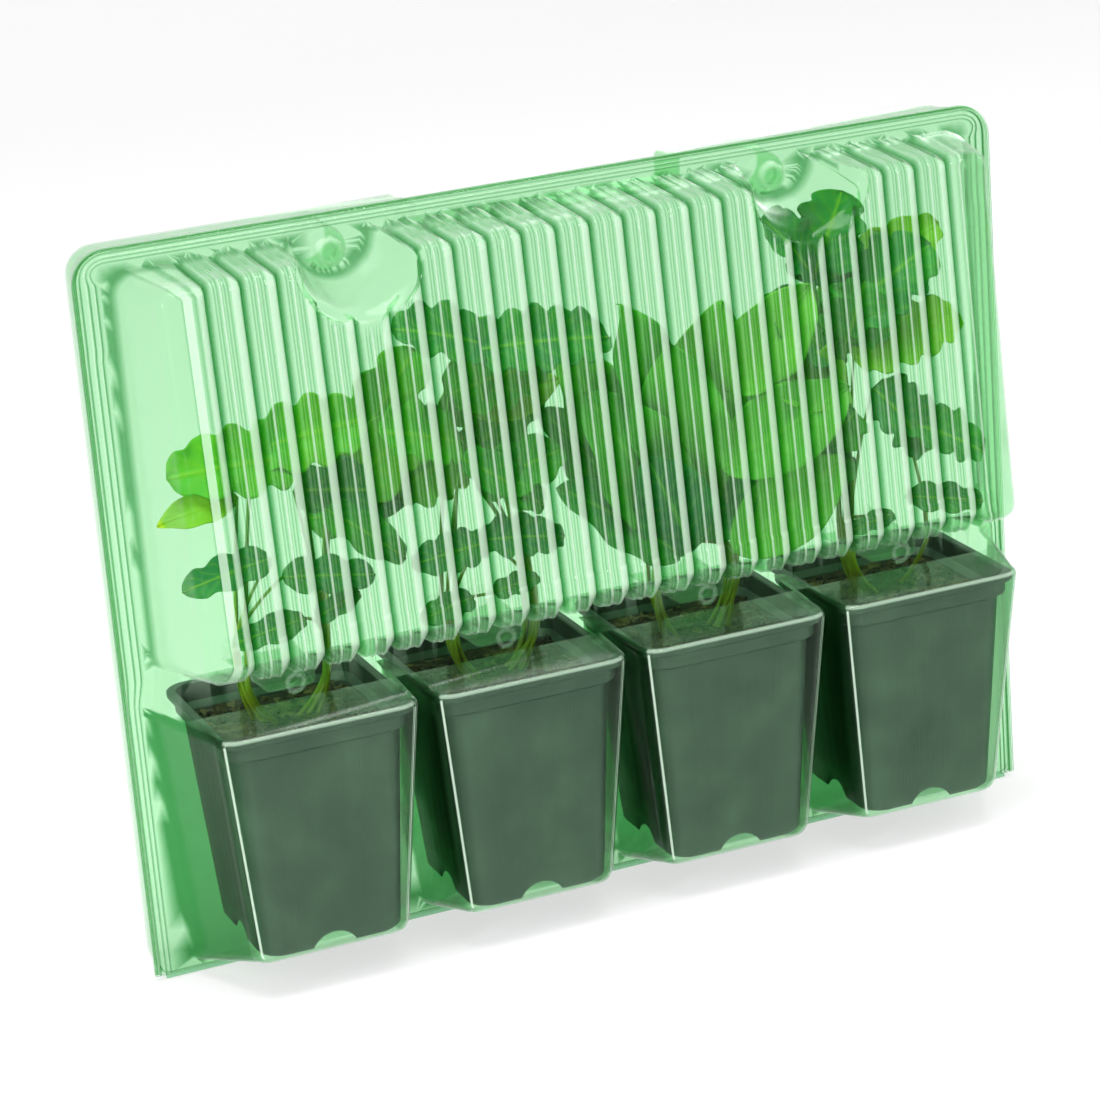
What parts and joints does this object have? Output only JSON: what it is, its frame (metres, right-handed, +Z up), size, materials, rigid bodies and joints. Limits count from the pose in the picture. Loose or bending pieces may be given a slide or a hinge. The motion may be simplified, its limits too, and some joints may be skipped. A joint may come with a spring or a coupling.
{
  "type": "seedling clamshell pack",
  "caption": "Upright clear green clamshell pack with a ribbed humidity dome over pocketed potted seedlings and a hinged back lid that snaps shut.",
  "frame": {"origin": "bottom centre of the closed pack's bounding box, on the surface it stands on", "axes": "+X along the width, +Y out of the back lid so that -Y is the ribbed dome's front, +Z up"},
  "size_m": [0.3408, 0.0734, 0.26],
  "materials": {
    "clear_pet": "clear green thermoformed PET, glossy",
    "clear_pet_lid": "clear green thermoformed PET, glossy",
    "clear_pet_hinge": "clear green thermoformed PET, creased",
    "black_pot": "thin black moulded polypropylene, finely ribbed",
    "potting_soil": "damp peat and fibre potting mix, rough",
    "plant_stem": "living stem, pale yellow-green, satin",
    "leaf": "living leaf, mid to dark green, waxy"
  },
  "bodies": {
    "front": {"front_shell": "clear_pet", "living_hinge": "clear_pet_hinge", "pot_1": "black_pot", "pot_2": "black_pot", "pot_3": "black_pot", "pot_4": "black_pot", "soil_1": "potting_soil", "soil_2": "potting_soil", "soil_3": "potting_soil", "soil_4": "potting_soil", "stems_1": "plant_stem", "stems_2": "plant_stem", "stems_3": "plant_stem", "stems_4": "plant_stem", "foliage_1": "leaf", "foliage_2": "leaf", "foliage_3": "leaf", "foliage_4": "leaf"},
    "lid": {"back_shell": "clear_pet_lid"}
  },
  "joints": [
    {"name": "lid_hinge", "type": "hinge", "parent": "front", "child": "lid", "pos_m": [0, 0.0117, 0.0008], "axis": [-1, 0, 0], "range_deg": [0, 180]}
  ]
}
